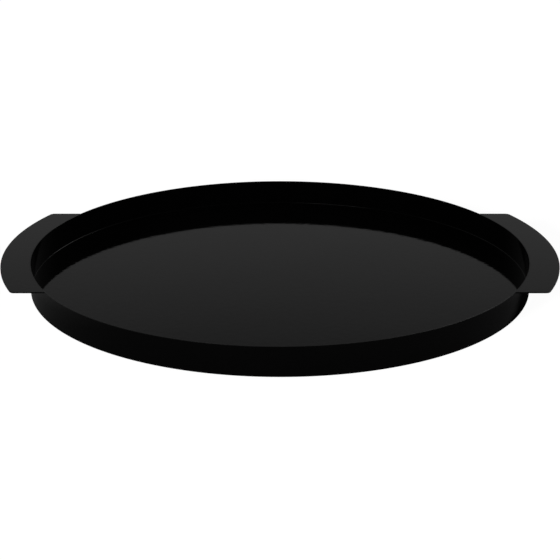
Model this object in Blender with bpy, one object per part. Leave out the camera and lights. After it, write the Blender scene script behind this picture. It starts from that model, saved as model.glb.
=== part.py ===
"""Round serving tray with two flat side handles, welded from sheet steel.

Frame: metres, +Z up. The origin is on the surface that the tray stands on,
under the centre of the disc. The handles lie along +X and -X, and the tray is
the same on both sides of the XZ plane and of the YZ plane, but for the butt
seam of the wall band, which is behind the +X handle.
"""

import math

import bmesh
import bpy
from mathutils import Matrix, Vector

# Driving dimensions
BODY_RADIUS = 0.225  # outer face of the wall band
WALL_HEIGHT = 0.025  # from the table to the rim
SHEET = 0.0012  # steel sheet of every plate and of the band
HANDLE_RADIUS = 0.250  # outer edge of a handle, concentric with the body
HANDLE_HALF_LENGTH = 0.109  # from a handle's middle to its straight end
HANDLE_CORNER = 0.005  # plan radius of a handle's two outer corners
SEAM_WIDTH = 0.0020  # between the two butted ends of the wall band
BASE_BEAD_LEG = 0.0015  # fillet weld between the base plate and the band
STITCH_LEG = 0.0018  # fillet stitches between a handle and the band
STITCH_LENGTH = 0.016
STITCH_SPACING = 0.070  # along the joint, from one stitch to the next
STITCHES_PER_HANDLE = 3
JOINT_GAP = 0.0003  # clearance between pieces that touch

# Facets
CIRCLE_STEPS = 192
HANDLE_ARC_STEPS = 36
CORNER_STEPS = 6
STITCH_STEPS = 4

# Coating
COAT_COLOUR = (0.006, 0.006, 0.006, 1.0)
SHEET_ROUGHNESS = 0.18
WELD_ROUGHNESS = 0.28

INNER_RADIUS = BODY_RADIUS - SHEET
HANDLE_INNER_RADIUS = BODY_RADIUS + JOINT_GAP


def clear_scene():
    for obj in list(bpy.data.objects):
        bpy.data.objects.remove(obj, do_unlink=True)


def coating(name, roughness):
    material = bpy.data.materials.new(name)
    material.use_nodes = True
    shader = material.node_tree.nodes["Principled BSDF"]
    shader.inputs["Base Color"].default_value = COAT_COLOUR
    shader.inputs["Roughness"].default_value = roughness
    shader.inputs["Metallic"].default_value = 0.0
    material.diffuse_color = COAT_COLOUR
    return material


def add_object(name, bm, material):
    bmesh.ops.recalc_face_normals(bm, faces=bm.faces)
    mesh = bpy.data.meshes.new(name)
    bm.to_mesh(mesh)
    bm.free()
    mesh.materials.append(material)
    mesh.shade_smooth()
    mesh.set_sharp_from_angle(angle=math.radians(30.0))
    obj = bpy.data.objects.new(name, mesh)
    bpy.context.scene.collection.objects.link(obj)
    return obj


def polar(radius, angle, z=0.0):
    return Vector((radius * math.cos(angle), radius * math.sin(angle), z))


def turned_solid(profile, start, sweep, steps):
    """The closed (radius, z) profile turned about Z from angle start through sweep."""
    bm = bmesh.new()
    section = bm.faces.new([bm.verts.new(polar(r, start, z)) for r, z in profile])
    full_turn = math.isclose(sweep, math.tau)
    geometry = list(section.edges) if full_turn else [section] + list(section.edges)
    if full_turn:
        bmesh.ops.delete(bm, geom=[section], context="FACES_ONLY")
    bmesh.ops.spin(
        bm,
        geom=geometry,
        cent=(0.0, 0.0, 0.0),
        axis=(0.0, 0.0, 1.0),
        angle=sweep,
        steps=steps,
        use_merge=full_turn,
    )
    return bm


def base_plate(material):
    """Flat disc that closes the band, flush with its lower edge."""
    bm = bmesh.new()
    radius = INNER_RADIUS - JOINT_GAP
    bmesh.ops.create_cone(
        bm,
        cap_ends=True,
        segments=CIRCLE_STEPS,
        radius1=radius,
        radius2=radius,
        depth=SHEET,
        matrix=Matrix.Translation((0.0, 0.0, SHEET / 2)),
    )
    return add_object("base_plate", bm, material)


def wall_band(material):
    """Strip rolled to a circle, its two ends a seam's width apart at +X."""
    profile = [
        (INNER_RADIUS, 0.0),
        (BODY_RADIUS, 0.0),
        (BODY_RADIUS, WALL_HEIGHT),
        (INNER_RADIUS, WALL_HEIGHT),
    ]
    seam_angle = SEAM_WIDTH / BODY_RADIUS
    bm = turned_solid(profile, seam_angle / 2, math.tau - seam_angle, CIRCLE_STEPS)
    return add_object("wall_band", bm, material)


def wall_seam_weld(material):
    """Butt weld between the band's ends, ground flush with both faces."""
    bm = bmesh.new()
    middle_radius = BODY_RADIUS - SHEET / 2
    size = (SHEET, SEAM_WIDTH - 2 * JOINT_GAP, WALL_HEIGHT)
    place = Matrix.Translation((middle_radius, 0.0, WALL_HEIGHT / 2))
    bmesh.ops.create_cube(bm, size=1.0, matrix=place @ Matrix.Diagonal((*size, 1.0)))
    return add_object("wall_seam_weld", bm, material)


def fillet_profile(corner_radius, corner_z, leg_r, leg_z, bulge):
    """Section of a fillet weld: two legs from a corner, and a face between them.

    The face's middle stands out from the straight line between the legs' ends
    by bulge times the distance from the corner to that line's middle.
    """
    reach = 0.5 * (1.0 + bulge)
    return [
        (corner_radius, corner_z),
        (corner_radius + leg_r, corner_z),
        (corner_radius + reach * leg_r, corner_z + reach * leg_z),
        (corner_radius, corner_z + leg_z),
    ]


def base_weld_bead(material):
    """Hollow-faced fillet weld all round the inside corner."""
    profile = fillet_profile(
        INNER_RADIUS - JOINT_GAP,
        SHEET + JOINT_GAP,
        -BASE_BEAD_LEG,
        BASE_BEAD_LEG,
        bulge=-0.35,
    )
    bm = turned_solid(profile, 0.0, math.tau, CIRCLE_STEPS)
    return add_object("base_weld_bead", bm, material)


def arc_points(centre, radius, first, last, steps):
    count = range(steps + 1)
    return [centre + polar(radius, first + (last - first) * i / steps) for i in count]


def handle_outline():
    """Plan of the +X handle, anticlockwise, starting at the inner edge's +Y end."""
    corner_y = HANDLE_HALF_LENGTH - HANDLE_CORNER
    corner_distance = HANDLE_RADIUS - HANDLE_CORNER
    corner_x = math.sqrt(corner_distance**2 - corner_y**2)
    corner_angle = math.atan2(corner_y, corner_x)
    inner_angle = math.asin(HANDLE_HALF_LENGTH / HANDLE_INNER_RADIUS)
    right_angle = math.pi / 2
    centre = Vector((0.0, 0.0, 0.0))
    low_corner = Vector((corner_x, -corner_y, 0.0))
    high_corner = Vector((corner_x, corner_y, 0.0))
    outline = arc_points(
        centre, HANDLE_INNER_RADIUS, inner_angle, -inner_angle, HANDLE_ARC_STEPS
    )
    outline += arc_points(
        low_corner, HANDLE_CORNER, -right_angle, -corner_angle, CORNER_STEPS
    )
    outer_arc = arc_points(
        centre, HANDLE_RADIUS, -corner_angle, corner_angle, HANDLE_ARC_STEPS
    )
    outline += outer_arc[1:-1]
    outline += arc_points(
        high_corner, HANDLE_CORNER, corner_angle, right_angle, CORNER_STEPS
    )
    return outline


def handle(name, turn, material):
    """Flat plate butted to the band's outer face, its top flush with the rim."""
    bm = bmesh.new()
    low = Vector((0.0, 0.0, WALL_HEIGHT - SHEET))
    plan = bm.faces.new([bm.verts.new(point + low) for point in handle_outline()])
    raised = bmesh.ops.extrude_face_region(bm, geom=[plan])
    top = [item for item in raised["geom"] if isinstance(item, bmesh.types.BMVert)]
    bmesh.ops.translate(bm, verts=top, vec=(0.0, 0.0, SHEET))
    bmesh.ops.rotate(bm, verts=bm.verts, matrix=Matrix.Rotation(turn, 3, "Z"))
    return add_object(name, bm, material)


def stitch_welds(side, turn, material):
    """Short fillet welds in the corner below a handle, spaced along the joint."""
    profile = fillet_profile(
        HANDLE_INNER_RADIUS,
        WALL_HEIGHT - SHEET - JOINT_GAP,
        STITCH_LEG,
        -STITCH_LEG,
        bulge=0.25,
    )
    sweep = STITCH_LENGTH / BODY_RADIUS
    spacing = STITCH_SPACING / BODY_RADIUS
    for i in range(STITCHES_PER_HANDLE):
        middle = turn + spacing * (i - (STITCHES_PER_HANDLE - 1) / 2)
        bm = turned_solid(profile, middle - sweep / 2, sweep, STITCH_STEPS)
        add_object(f"handle_{side}_weld_{i + 1}", bm, material)


def build():
    clear_scene()
    sheet_coat = coating("black_sheet_coat", SHEET_ROUGHNESS)
    weld_coat = coating("black_weld_coat", WELD_ROUGHNESS)
    base_plate(sheet_coat)
    wall_band(sheet_coat)
    wall_seam_weld(weld_coat)
    base_weld_bead(weld_coat)
    for side, turn in (("right", 0.0), ("left", math.pi)):
        handle(f"handle_{side}", turn, sheet_coat)
        stitch_welds(side, turn, weld_coat)


build()
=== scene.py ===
import math

import bmesh
import bpy
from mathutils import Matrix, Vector, noise


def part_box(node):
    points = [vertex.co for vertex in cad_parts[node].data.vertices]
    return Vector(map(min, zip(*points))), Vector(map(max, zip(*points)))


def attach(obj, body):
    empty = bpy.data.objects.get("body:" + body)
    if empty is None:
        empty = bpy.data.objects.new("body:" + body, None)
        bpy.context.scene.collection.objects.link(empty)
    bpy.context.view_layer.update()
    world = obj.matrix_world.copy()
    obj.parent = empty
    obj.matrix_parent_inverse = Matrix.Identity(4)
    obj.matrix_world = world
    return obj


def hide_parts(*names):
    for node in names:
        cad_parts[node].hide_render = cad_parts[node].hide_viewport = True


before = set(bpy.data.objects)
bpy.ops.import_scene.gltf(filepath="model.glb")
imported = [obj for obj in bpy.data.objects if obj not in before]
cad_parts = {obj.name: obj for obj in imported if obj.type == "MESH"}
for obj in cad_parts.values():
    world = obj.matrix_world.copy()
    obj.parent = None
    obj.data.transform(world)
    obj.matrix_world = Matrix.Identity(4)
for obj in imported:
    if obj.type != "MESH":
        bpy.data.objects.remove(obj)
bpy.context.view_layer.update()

# ---------------------------------------------------------------- sizes
# Taken from the CAD nodes, in metres.
WALL_LOW, WALL_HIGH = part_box("wall_band")
BODY_RADIUS = -WALL_LOW[0]
RIM_Z = WALL_HIGH[2]
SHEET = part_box("base_plate")[1][2]
INNER_RADIUS = BODY_RADIUS - SHEET
HANDLE_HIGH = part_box("handle_right")[1]
HANDLE_RADIUS = HANDLE_HIGH[0]
HANDLE_HALF_LENGTH = HANDLE_HIGH[1]
SEAM_HALF_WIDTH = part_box("wall_seam_weld")[1][1]

# Details finer than the CAD, in metres where nothing else is said.
HANDLE_CORNER = 0.005  # plan radius of a handle's outer corners
RIM_EDGE = 0.00030  # rounding of the rim's two edges, which hands slide along
SHEET_EDGE = 0.00014  # rounding of every other sheet edge
SUPPORT = 0.00004  # a point this far from a rounding keeps the flat beside it flat
WELD_OVERLAP = 0.0003  # how far a weld runs on inside the sheets that it joins
FLOOR_WAVE = 0.00005  # a welded floor is flat to within this
FLOOR_CELLS = 11.0  # cells per metre of the noise that makes it uneven
SEAM_CROWN = 0.00004
SEAM_BLEND = 1.3  # the ground seam's width, as a multiple of the CAD's
FILLET_RADIUS = 0.0004  # hollow face of the weld between the wall and the floor
# Its ripples: share of that radius, waves in a full turn, and phase.
FILLET_RIPPLES = ((0.03, 290, 0.0), (0.05, 23, 1.0))
STITCH_LEG = 0.0019
STITCH_RIPPLE = 0.0013  # from one crest on a stitch weld to the next
# Shares of its leg: how far its face bows out, what a crest adds, and how much of the
# leg is left at its ends.
STITCH_BOW = 0.16
STITCH_CREST = 0.07
STITCH_END = 0.05

# Facets
CIRCLE_STEPS = 720
EDGE_STEPS = 6
FILLET_STEPS = 8
FLOOR_RINGS = 36
HANDLE_ARC_STEPS = 160
CORNER_STEPS = 14
SEAM_STEPS = 16
STITCH_STEPS = 120
STITCH_ACROSS = 12
SHARP_ANGLE = math.radians(40.0)  # an edge is shaded smooth up to this
MERGE_DISTANCE = 1e-7


# ---------------------------------------------------------------- meshes
def polar(radius, angle, z):
    return Vector((radius * math.cos(angle), radius * math.sin(angle), z))


def rounded(corners, radii):
    """A closed (r, z) outline, given by its corners, each rounded with its own radius."""
    outline = []
    for i, (corner, radius) in enumerate(zip(corners, radii)):
        here = Vector(corner)
        back = (Vector(corners[i - 1]) - here).normalized()
        ahead = (Vector(corners[(i + 1) % len(corners)]) - here).normalized()
        half = back.angle(ahead) / 2
        reach = radius / math.tan(half)
        centre = here + (back + ahead).normalized() * (radius / math.sin(half))
        first = here + back * reach - centre
        last = here + ahead * reach - centre
        outline.append(here + back * (reach + SUPPORT))
        for step in range(EDGE_STEPS + 1):
            outline.append(centre + radius * first.slerp(last, step / EDGE_STEPS))
        outline.append(here + ahead * (reach + SUPPORT))
    return outline


def new_piece(name, points, faces):
    """A closed mesh object with its faces turned outwards and its arcs shaded smooth."""
    mesh = bpy.data.meshes.new(name)
    mesh.from_pydata(points, [], faces)
    bm = bmesh.new()
    bm.from_mesh(mesh)
    bmesh.ops.remove_doubles(bm, verts=bm.verts, dist=MERGE_DISTANCE)
    bmesh.ops.recalc_face_normals(bm, faces=bm.faces)
    bm.to_mesh(mesh)
    bm.free()
    mesh.shade_smooth()
    mesh.set_sharp_from_angle(angle=SHARP_ANGLE)
    piece = bpy.data.objects.new(name, mesh)
    bpy.context.scene.collection.objects.link(piece)
    return piece


def turned(name, outline_at, start=0.0, sweep=math.tau, steps=CIRCLE_STEPS):
    """Turns a closed (r, z) outline about Z. outline_at(angle, share) gives it at each step."""
    full = math.isclose(sweep, math.tau)
    stations = steps if full else steps + 1
    points = []
    for i in range(stations):
        angle = start + sweep * i / steps
        points += [polar(r, angle, z) for r, z in outline_at(angle, i / steps)]
    count = len(points) // stations
    faces = []
    for i in range(steps):
        here = i * count
        there = (i + 1) % stations * count
        for j in range(count):
            k = (j + 1) % count
            faces.append((here + j, here + k, there + k, there + j))
    if not full:
        faces.append(tuple(range(count)))
        faces.append(tuple(range((stations - 1) * count, stations * count)))
    return new_piece(name, points, faces)


def lofted(name, rings):
    """Joins closed rings of points, one above the other, and closes both ends.

    A ring's second half runs back beside its first, so strips across it close an end.
    """
    count = len(rings[0])
    points = [point for ring in rings for point in ring]
    faces = []
    for i in range(len(rings) - 1):
        here = i * count
        there = here + count
        for j in range(count):
            k = (j + 1) % count
            faces.append((here + j, here + k, there + k, there + j))
    for start in (0, len(points) - count):
        end = start + count - 1
        for j in range(count // 2 - 1):
            faces.append((start + j, start + j + 1, end - j - 1, end - j))
    return new_piece(name, points, faces)


# ---------------------------------------------------------------- pieces
def seam_half_angle():
    """The ground weld blends into the band a little way past the CAD's seam."""
    return SEAM_BLEND * SEAM_HALF_WIDTH / BODY_RADIUS


def wall_outline(angle, share):
    """The same all round, with its upper edges rounder than its lower ones."""
    corners = [
        (INNER_RADIUS, 0.0),
        (BODY_RADIUS, 0.0),
        (BODY_RADIUS, RIM_Z),
        (INNER_RADIUS, RIM_Z),
    ]
    return rounded(corners, (SHEET_EDGE, SHEET_EDGE, RIM_EDGE, RIM_EDGE))


def make_wall():
    """The rolled band, from one side of its butt seam round to the other."""
    half = seam_half_angle()
    wall = turned("rolled_wall", wall_outline, half, math.tau - 2 * half)
    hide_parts("wall_band")
    return wall


def make_seam():
    """Ground butt weld: the wall's own outline with a trace of a crown on both faces."""
    half = seam_half_angle()
    middle = (INNER_RADIUS + BODY_RADIUS) / 2

    def outline(angle, share):
        crown = SEAM_CROWN * math.sin(math.pi * share) ** 2
        return [
            (r + math.copysign(crown, r - middle), z)
            for r, z in wall_outline(angle, share)
        ]

    seam = turned("wall_butt_weld", outline, -half, 2 * half, SEAM_STEPS)
    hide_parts("wall_seam_weld")
    return seam


def floor_height(x, y):
    """Height of the floor's top: a welded disc is never quite flat."""
    spread = 1.0 - (math.hypot(x, y) / INNER_RADIUS) ** 4
    wave = noise.noise(Vector((x * FLOOR_CELLS, y * FLOOR_CELLS, 3.7)))
    return SHEET + FLOOR_WAVE * wave * max(spread, 0.0)


def floor_side():
    """The disc's outer edge in (r, z), from its top to its underside."""
    corners = [(0.0, 0.0), (INNER_RADIUS, 0.0), (INNER_RADIUS, SHEET), (0.0, SHEET)]
    outline = rounded(corners, [SHEET_EDGE] * len(corners))
    corner_points = len(outline) // len(corners)
    return outline[corner_points : 3 * corner_points][::-1]


def make_floor():
    """The disc, its top in rings fine enough to carry its unevenness."""
    ring_radii = [INNER_RADIUS * i / FLOOR_RINGS for i in range(1, FLOOR_RINGS)]
    side = floor_side()
    spoke = len(ring_radii) + len(side)
    points = [Vector((0.0, 0.0, floor_height(0.0, 0.0)))]
    faces = []
    for i in range(CIRCLE_STEPS):
        angle = math.tau * i / CIRCLE_STEPS
        for radius in ring_radii:
            spot = polar(radius, angle, 0.0)
            spot.z = floor_height(spot.x, spot.y)
            points.append(spot)
        points += [polar(r, angle, z) for r, z in side]
        here = 1 + i * spoke
        there = 1 + (i + 1) % CIRCLE_STEPS * spoke
        faces.append((0, here, there))
        for j in range(spoke - 1):
            faces.append((here + j, here + j + 1, there + j + 1, there + j))
    faces.append(tuple(spoke + i * spoke for i in range(CIRCLE_STEPS)))
    floor = new_piece("floor_disc", points, faces)
    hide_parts("base_plate")
    return floor


def fillet_outline(angle, share):
    """Section of the inside corner's weld: a hollow face, and its root inside the sheets."""
    ripple = sum(
        depth * math.sin(angle * waves + phase) for depth, waves, phase in FILLET_RIPPLES
    )
    radius = FILLET_RADIUS * (1.0 + ripple)
    centre_r = INNER_RADIUS - radius
    centre_z = SHEET + radius
    face = []
    for step in range(FILLET_STEPS + 1):
        turn = math.pi / 2 * step / FILLET_STEPS
        face.append((centre_r + radius * math.cos(turn), centre_z - radius * math.sin(turn)))
    outer = INNER_RADIUS + WELD_OVERLAP
    lower = SHEET - WELD_OVERLAP
    return face + [(centre_r, lower), (outer, lower), (outer, centre_z)]


def make_corner_weld():
    """Dressed fillet all round the inside corner, its face hollow and faintly rippled."""
    weld = turned("corner_fillet_weld", fillet_outline, steps=3 * CIRCLE_STEPS)
    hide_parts("base_weld_bead")
    return weld


def handle_ring(inset, z):
    """Plan of the +X handle at one height, its free edges drawn in by inset.

    The inner edge lies inside the wall, under the end of the rim's flat top. It is
    drawn in by half as much.
    """
    rim_flat = BODY_RADIUS - RIM_EDGE - SUPPORT
    inner_radius = rim_flat - 0.5 * (SHEET_EDGE + SUPPORT - inset)
    outer_radius = HANDLE_RADIUS - inset
    half_length = HANDLE_HALF_LENGTH - inset
    corner = HANDLE_CORNER - inset
    corner_distance = outer_radius - corner
    corner_angle = math.asin((half_length - corner) / corner_distance)
    centre = polar(corner_distance, corner_angle, z)
    half_outer = []
    for i in range(HANDLE_ARC_STEPS // 2):
        angle = corner_angle * 2 * i / HANDLE_ARC_STEPS
        half_outer.append(polar(outer_radius, angle, z))
    for i in range(CORNER_STEPS + 1):
        angle = corner_angle + (math.pi / 2 - corner_angle) * i / CORNER_STEPS
        half_outer.append(centre + polar(corner, angle, 0.0))
    other_half = [Vector((p.x, -p.y, p.z)) for p in reversed(half_outer[1:])]
    outer = other_half + half_outer
    inner_angle = math.asin(half_length / inner_radius)
    steps = len(outer) - 1
    inner = []
    for i in range(steps + 1):
        inner.append(polar(inner_radius, inner_angle * (1.0 - 2.0 * i / steps), z))
    return inner + outer


def handle_levels():
    """(inset, z) of each ring, from the underside to the top, round both edges."""
    low = RIM_Z - SHEET
    arc = [math.pi / 2 * i / EDGE_STEPS for i in range(EDGE_STEPS + 1)]
    lower = [(SHEET_EDGE + SUPPORT, low)]
    for turn in arc:
        inset = SHEET_EDGE * (1.0 - math.sin(turn))
        lower.append((inset, low + SHEET_EDGE * (1.0 - math.cos(turn))))
    lower.append((0.0, low + SHEET_EDGE + SUPPORT))
    return lower + [(inset, 2 * RIM_Z - SHEET - z) for inset, z in reversed(lower)]


def make_handle(side, turn):
    rings = [handle_ring(inset, z) for inset, z in handle_levels()]
    handle = lofted(f"{side}_handle_plate", rings)
    handle.rotation_euler.z = turn
    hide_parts(f"handle_{side}")
    return handle


def stitch_outline(share, length):
    """Section of a stitch weld under a handle: convex, rippled, rounded off at its ends."""
    end = 2.0 * share - 1.0
    dome = math.sqrt(max(1.0 - abs(end) ** 5, 0.0))
    leg = STITCH_LEG * (dome * (1.0 - STITCH_END) + STITCH_END)
    top = RIM_Z - SHEET
    ripples = length / STITCH_RIPPLE
    face = []
    for step in range(STITCH_ACROSS + 1):
        across = step / STITCH_ACROSS
        bow = 1.0 - (2.0 * across - 1.0) ** 2
        phase = share * ripples + 0.45 * bow  # so each crest is bowed
        crest = abs(math.sin(math.pi * phase)) ** 0.7
        lift = leg * (STITCH_BOW + STITCH_CREST * crest) * bow
        slant = lift * 0.7  # as far outwards as down
        face.append((BODY_RADIUS + leg * (1.0 - across) + slant, top - leg * across - slant))
    inside_r = BODY_RADIUS - WELD_OVERLAP
    inside_z = top + WELD_OVERLAP
    return face + [(inside_r, top - leg), (inside_r, inside_z), (face[0][0], inside_z)]


def make_stitch(node):
    low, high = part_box(node)
    middle = (low + high) / 2
    angle = math.atan2(middle.y, middle.x)
    length = (Vector(high) - Vector(low)).length
    sweep = length / BODY_RADIUS
    weld = turned(
        node.replace("handle", "stitch").replace("_weld", ""),
        lambda turn, share: stitch_outline(share, length),
        angle - sweep / 2,
        sweep,
        STITCH_STEPS,
    )
    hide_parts(node)
    return weld


# ---------------------------------------------------------------- nodes
def new_node(tree, kind, **inputs):
    """A new node with its input values set, by socket name."""
    node = tree.nodes.new(kind)
    for name, value in inputs.items():
        node.inputs[name.replace("_", " ")].default_value = value
    return node


def map_range(tree, value, source, target):
    """The value moved from one (low, high) range to another, and held at its ends."""
    node = new_node(
        tree,
        "ShaderNodeMapRange",
        From_Min=source[0],
        From_Max=source[1],
        To_Min=target[0],
        To_Max=target[1],
    )
    tree.links.new(value, node.inputs["Value"])
    return node.outputs["Result"]


def calculated(tree, operation, *values):
    node = tree.nodes.new("ShaderNodeMath")
    node.operation = operation
    for value, socket in zip(values, node.inputs):
        tree.links.new(value, socket)
    return node.outputs["Value"]


# ---------------------------------------------------------------- materials
# Colours of the coat: the two that it drifts between, and a paler one on edges, partly for the
# coat thinning there and partly a painted highlight along the rims.
COAT_DARK = (0.0030, 0.0030, 0.0030, 1.0)
COAT_LIGHT = (0.0050, 0.0050, 0.0050, 1.0)
COAT_EDGE = (0.0120, 0.0120, 0.0120, 1.0)
# Sockets of a Mix node that mixes colours, which share their names with others.
MIX_A = 6
MIX_B = 7
MIX_RESULT = 2


def coat_colour(tree, place):
    """Near-black in faint clouds, and a little paler on edges, partly as a painted highlight."""
    cloud = new_node(tree, "ShaderNodeTexNoise", Scale=24.0, Detail=4.0, Roughness=0.6)
    tree.links.new(place, cloud.inputs["Vector"])
    tint = tree.nodes.new("ShaderNodeValToRGB")
    dark, light = tint.color_ramp.elements
    dark.position = 0.35
    dark.color = COAT_DARK
    light.position = 0.70
    light.color = COAT_LIGHT
    tree.links.new(cloud.outputs["Fac"], tint.inputs["Fac"])
    edge = tree.nodes.new("ShaderNodeNewGeometry").outputs["Pointiness"]
    edge_coat_and_sheen = tree.nodes.new("ShaderNodeMix")
    edge_coat_and_sheen.data_type = "RGBA"
    # Pointiness picks out edges, which are painted paler: partly the coat thinning there, partly
    # a painted highlight.
    edge_thin_coat_and_sheen = map_range(tree, edge, (0.52, 0.62), (0.0, 1.0))
    tree.links.new(edge_thin_coat_and_sheen, edge_coat_and_sheen.inputs["Factor"])
    tree.links.new(tint.outputs["Color"], edge_coat_and_sheen.inputs[MIX_A])
    edge_coat_and_sheen.inputs[MIX_B].default_value = COAT_EDGE
    return edge_coat_and_sheen.outputs[MIX_RESULT]


def coat_gloss(tree, place, roughness):
    """Roughness in patches about the given one."""
    patch = new_node(tree, "ShaderNodeTexNoise", Scale=55.0, Detail=5.0, Roughness=0.55)
    tree.links.new(place, patch.inputs["Vector"])
    spread = (roughness * 0.9, roughness * 1.12)
    return map_range(tree, patch.outputs["Fac"], (0.3, 0.7), spread)


def coat_relief(tree, place, peel):
    """Orange peel that deep, in metres, with a finer grain on it."""
    broad = new_node(tree, "ShaderNodeTexNoise", Scale=190.0, Detail=1.0)
    fine = new_node(tree, "ShaderNodeTexNoise", Scale=850.0, Detail=2.0)
    swell = new_node(tree, "ShaderNodeBump", Strength=1.0, Distance=peel)
    grain = new_node(tree, "ShaderNodeBump", Strength=1.0, Distance=peel * 0.22)
    tree.links.new(place, broad.inputs["Vector"])
    tree.links.new(place, fine.inputs["Vector"])
    tree.links.new(broad.outputs["Fac"], swell.inputs["Height"])
    tree.links.new(fine.outputs["Fac"], grain.inputs["Height"])
    tree.links.new(swell.outputs["Normal"], grain.inputs["Normal"])
    return grain.outputs["Normal"]


def powder_coat(name, roughness, peel):
    """Black gloss powder coat: a faint orange peel, and on edges a thinner coat with a painted
    highlight.
    """
    material = bpy.data.materials.new(name)
    material.use_nodes = True
    tree = material.node_tree
    shader = tree.nodes["Principled BSDF"]
    shader.inputs["IOR"].default_value = 1.5
    shader.inputs["Specular IOR Level"].default_value = 0.5
    place = tree.nodes.new("ShaderNodeTexCoord").outputs["Object"]
    tree.links.new(coat_colour(tree, place), shader.inputs["Base Color"])
    tree.links.new(coat_gloss(tree, place, roughness), shader.inputs["Roughness"])
    tree.links.new(coat_relief(tree, place, peel), shader.inputs["Normal"])
    return material


def make_tray():
    sheet_coat = powder_coat("gloss_black_coat", roughness=0.05, peel=0.00003)
    weld_coat = powder_coat("gloss_black_coat_on_welds", roughness=0.08, peel=0.00004)
    plates = [make_wall(), make_floor(), make_handle("right", 0.0), make_handle("left", math.pi)]
    welds = [make_seam(), make_corner_weld()]
    for side in ("right", "left"):
        for number in (1, 2, 3):
            welds.append(make_stitch(f"handle_{side}_weld_{number}"))
    for pieces, material, slot in (
        (plates, sheet_coat, "coated_sheet"),
        (welds, weld_coat, "coated_weld"),
    ):
        for piece in pieces:
            piece.data.materials.append(material)
            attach(piece, "root")


# ---------------------------------------------------------------- studio
# The photograph is a cut-out: its tray stands in a dim room, and the white round it
# was put there afterwards. So the camera sees a white table and a white backdrop, and
# the tray mirrors a dim table and the room.
WHITE = (1.0, 1.0, 1.0, 1.0)
TABLE = (0.10, 0.10, 0.10, 1.0)
TABLE_SEEN = 0.97  # the table's glow for the camera
# Its glow for all else, by metres from its middle after TABLE_STRETCH and TABLE_SHIFT:
# none round the tray, some beside the left handle, and more further off.
TABLE_GLOW = ((0.00, 0.00), (0.270, 0.00), (0.305, 0.014), (0.60, 0.35), (1.00, 0.50))
TABLE_STRETCH = (1.25, 0.50, 1.0)
TABLE_SHIFT = (-0.02, 0.0, 0.0)
TABLE_SIDE = 24.0
TABLE_Z = -0.0001  # just clear of the tray's underside

# The room's brightness by the sine of the height above the horizon: a glow low down,
# then a band of ceiling lights.
LOW_GLOW = (
    (0.00, 0.170),
    (0.24, 0.152),
    (0.28, 0.148),
    (0.32, 0.136),
    (0.36, 0.115),
    (0.40, 0.092),
    (0.55, 0.040),
    (1.00, 0.000),
)
LIGHT_BAND = (
    (0.00, 0.000),
    (0.345, 0.000),
    (0.42, 0.200),
    (0.55, 0.200),
    (0.65, 0.080),
    (0.75, 0.020),
    (1.00, 0.010),
)
# Shares of those two from the camera's side, 0, through the sides, 0.5, to beyond, 1.
GLOW_ROUND = ((0.00, 0.60), (0.25, 0.60), (0.38, 0.35), (0.85, 0.35), (0.96, 1.00))
BAND_ROUND = (
    (0.00, 0.20),
    (0.35, 0.20),
    (0.50, 1.00),
    (0.85, 1.00),
    (0.95, 0.00),
    (1.00, 0.00),
)
# Left of the room's light after two reflections in the tray: the floor polarises it,
# and the wall, at right angles to the floor, then absorbs most of it. Cycles traces
# no polarisation.
AFTER_TWO_REFLECTIONS = 0.40

# Lamps. The sun and the panel are placed by azimuth, from +X towards +Y, and elevation
# in degrees, the panel with a distance in metres, and the ceiling's lamp by x, y and z.
SUN_PLACE = (-128.0, 18.0)
SUN_STRENGTH = 3.2
SUN_SPREAD = math.radians(9.0)
PANEL_PLACE = (66.0, 38.0, 2.0)
PANEL_SIZE = (0.45, 0.70)
PANEL_BRIGHTNESS = 0.9
CEILING_PLACE = (-0.51, -0.20, 1.90)
CEILING_SIZE = (0.80, 0.44)
CEILING_BRIGHTNESS = 1.0

# Camera, from a fit of the tray's outlines to the photograph.
CAMERA_PLACE = (0.0, -1.1481, 0.4198)
CAMERA_DOWN = 20.287  # degrees
CAMERA_LENS = 85.68  # mm, with a sensor of the width below
CAMERA_SENSOR = 36.0


def levels_over(tree, value, levels):
    """Brightness read from a table of (value, brightness) stops."""
    ramp = tree.nodes.new("ShaderNodeValToRGB")
    stops = ramp.color_ramp.elements
    stops[1].position = levels[-1][0]
    for place, level in levels[1:-1]:
        stops.new(place)
    for stop, (place, level) in zip(stops, levels):
        stop.position = place
        stop.color = (level, level, level, 1.0)
    tree.links.new(value, ramp.inputs["Fac"])
    return ramp.outputs["Color"]


def camera_only(tree, shown, otherwise):
    """Mixes two shaders: the first for what the camera sees, the second for all else."""
    mix = tree.nodes.new("ShaderNodeMixShader")
    path = tree.nodes.new("ShaderNodeLightPath")
    tree.links.new(path.outputs["Is Camera Ray"], mix.inputs["Fac"])
    tree.links.new(otherwise.outputs[0], mix.inputs[1])
    tree.links.new(shown.outputs[0], mix.inputs[2])
    return mix


def plus_light(tree, shader, strength):
    """The shader with a white glow added, of a fixed strength or one read from a socket."""
    glow = new_node(tree, "ShaderNodeEmission", Color=WHITE)
    if isinstance(strength, float):
        glow.inputs["Strength"].default_value = strength
    else:
        tree.links.new(strength, glow.inputs["Strength"])
    total = tree.nodes.new("ShaderNodeAddShader")
    tree.links.new(shader.outputs[0], total.inputs[0])
    tree.links.new(glow.outputs[0], total.inputs[1])
    return total


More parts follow.
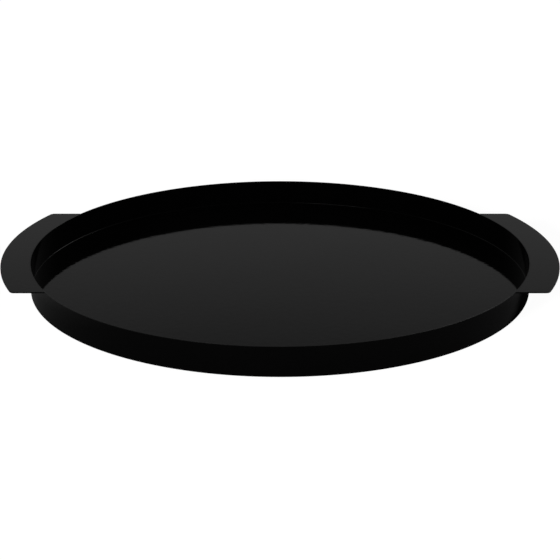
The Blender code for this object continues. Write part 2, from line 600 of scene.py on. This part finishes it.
def table_material():
    """Matt: overexposed to the camera but for the tray's faint shadow, and dim to the tray."""
    material = bpy.data.materials.new("pale_table")
    material.use_nodes = True
    tree = material.node_tree
    tree.nodes.clear()
    place = tree.nodes.new("ShaderNodeTexCoord")
    stretched = tree.nodes.new("ShaderNodeVectorMath")
    stretched.operation = "MULTIPLY_ADD"
    stretched.inputs[1].default_value = TABLE_STRETCH
    stretched.inputs[2].default_value = TABLE_SHIFT
    distance = tree.nodes.new("ShaderNodeVectorMath")
    distance.operation = "LENGTH"
    tree.links.new(place.outputs["Object"], stretched.inputs[0])
    tree.links.new(stretched.outputs["Vector"], distance.inputs[0])
    far_glow = levels_over(tree, distance.outputs["Value"], TABLE_GLOW)
    matt = new_node(tree, "ShaderNodeBsdfDiffuse", Color=TABLE)
    shown = plus_light(tree, matt, TABLE_SEEN)
    mix = camera_only(tree, shown, plus_light(tree, matt, far_glow))
    out = tree.nodes.new("ShaderNodeOutputMaterial")
    tree.links.new(mix.outputs["Shader"], out.inputs["Surface"])
    return material


def make_stage():
    bpy.ops.mesh.primitive_plane_add(size=TABLE_SIDE, location=(0.0, 0.0, TABLE_Z))
    table = bpy.context.object
    table.name = "table_top"
    table.data.materials.append(table_material())
    return table


def make_world():
    """The dim room, with white in its place for the camera."""
    world = bpy.data.worlds.new("studio")
    bpy.context.scene.world = world
    world.use_nodes = True
    tree = world.node_tree
    tree.nodes.clear()
    way = tree.nodes.new("ShaderNodeTexCoord")
    split = tree.nodes.new("ShaderNodeSeparateXYZ")
    tree.links.new(way.outputs["Generated"], split.inputs["Vector"])
    height = split.outputs["Z"]
    depth = map_range(tree, split.outputs["Y"], (-1.0, 1.0), (0.0, 1.0))
    band = calculated(
        tree,
        "MULTIPLY",
        levels_over(tree, height, LIGHT_BAND),
        levels_over(tree, depth, BAND_ROUND),
    )
    light = calculated(
        tree,
        "MULTIPLY_ADD",
        levels_over(tree, height, LOW_GLOW),
        levels_over(tree, depth, GLOW_ROUND),
        band,
    )
    reflections = tree.nodes.new("ShaderNodeLightPath").outputs["Glossy Depth"]
    left = map_range(tree, reflections, (1.0, 2.0), (1.0, AFTER_TWO_REFLECTIONS))
    room = new_node(tree, "ShaderNodeBackground", Color=WHITE)
    tree.links.new(calculated(tree, "MULTIPLY", light, left), room.inputs["Strength"])
    backdrop = new_node(tree, "ShaderNodeBackground", Color=WHITE, Strength=1.0)
    mix = camera_only(tree, backdrop, room)
    out = tree.nodes.new("ShaderNodeOutputWorld")
    tree.links.new(mix.outputs["Shader"], out.inputs["Surface"])


def towards(azimuth, elevation, distance=1.0):
    """A point that far from the tray; azimuth is in degrees from +X towards +Y."""
    turn = math.radians(azimuth)
    rise = math.radians(elevation)
    flat = distance * math.cos(rise)
    return Vector((flat * math.cos(turn), flat * math.sin(turn), distance * math.sin(rise)))


def add_lamp(data, place):
    """Puts a lamp there, facing the tray."""
    lamp = bpy.data.objects.new(data.name, data)
    lamp.location = place
    lamp.rotation_euler = (-place).to_track_quat("-Z", "Y").to_euler()
    bpy.context.scene.collection.objects.link(lamp)
    return lamp


def area_lamp(name, shape, place, size, brightness):
    """A lamp with the energy that gives a rectangle of its size this brightness."""
    width, height = size
    data = bpy.data.lights.new(name, "AREA")
    data.shape = shape
    data.size = width
    data.size_y = height
    data.energy = brightness * math.pi * width * height
    return add_lamp(data, place)


def make_sun(table):
    """A low light from the front left, on the table alone.

    The outer wall mirrors the lit table, and below the right handle the tray's shadow.
    """
    data = bpy.data.lights.new("front_light", "SUN")
    data.energy = SUN_STRENGTH
    data.angle = SUN_SPREAD
    sun = add_lamp(data, towards(*SUN_PLACE))
    sun.visible_glossy = False
    table_only = bpy.data.collections.new("lit_by_front_light")
    table_only.objects.link(table)
    sun.light_linking.receiver_collection = table_only


def make_lamps():
    """Two lamps that the rim and the inside corner glint with."""
    area_lamp(
        "back_right_panel", "RECTANGLE", towards(*PANEL_PLACE), PANEL_SIZE, PANEL_BRIGHTNESS
    )
    ceiling = area_lamp(
        "ceiling_lamp", "ELLIPSE", Vector(CEILING_PLACE), CEILING_SIZE, CEILING_BRIGHTNESS
    )
    ceiling.rotation_euler = (0.0, 0.0, 0.0)  # straight down
    ceiling.visible_diffuse = False


def make_camera():
    """Looks along +Y from above the near edge, square on to the handles."""
    data = bpy.data.cameras.new("camera")
    data.sensor_width = CAMERA_SENSOR
    data.lens = CAMERA_LENS
    camera = bpy.data.objects.new("camera", data)
    camera.location = CAMERA_PLACE
    camera.rotation_euler = (math.radians(90.0 - CAMERA_DOWN), 0.0, 0.0)
    bpy.context.scene.collection.objects.link(camera)
    bpy.context.scene.camera = camera


make_camera()
make_world()
make_sun(make_stage())
make_lamps()
make_tray()
bpy.context.scene.view_settings.view_transform = "Standard"
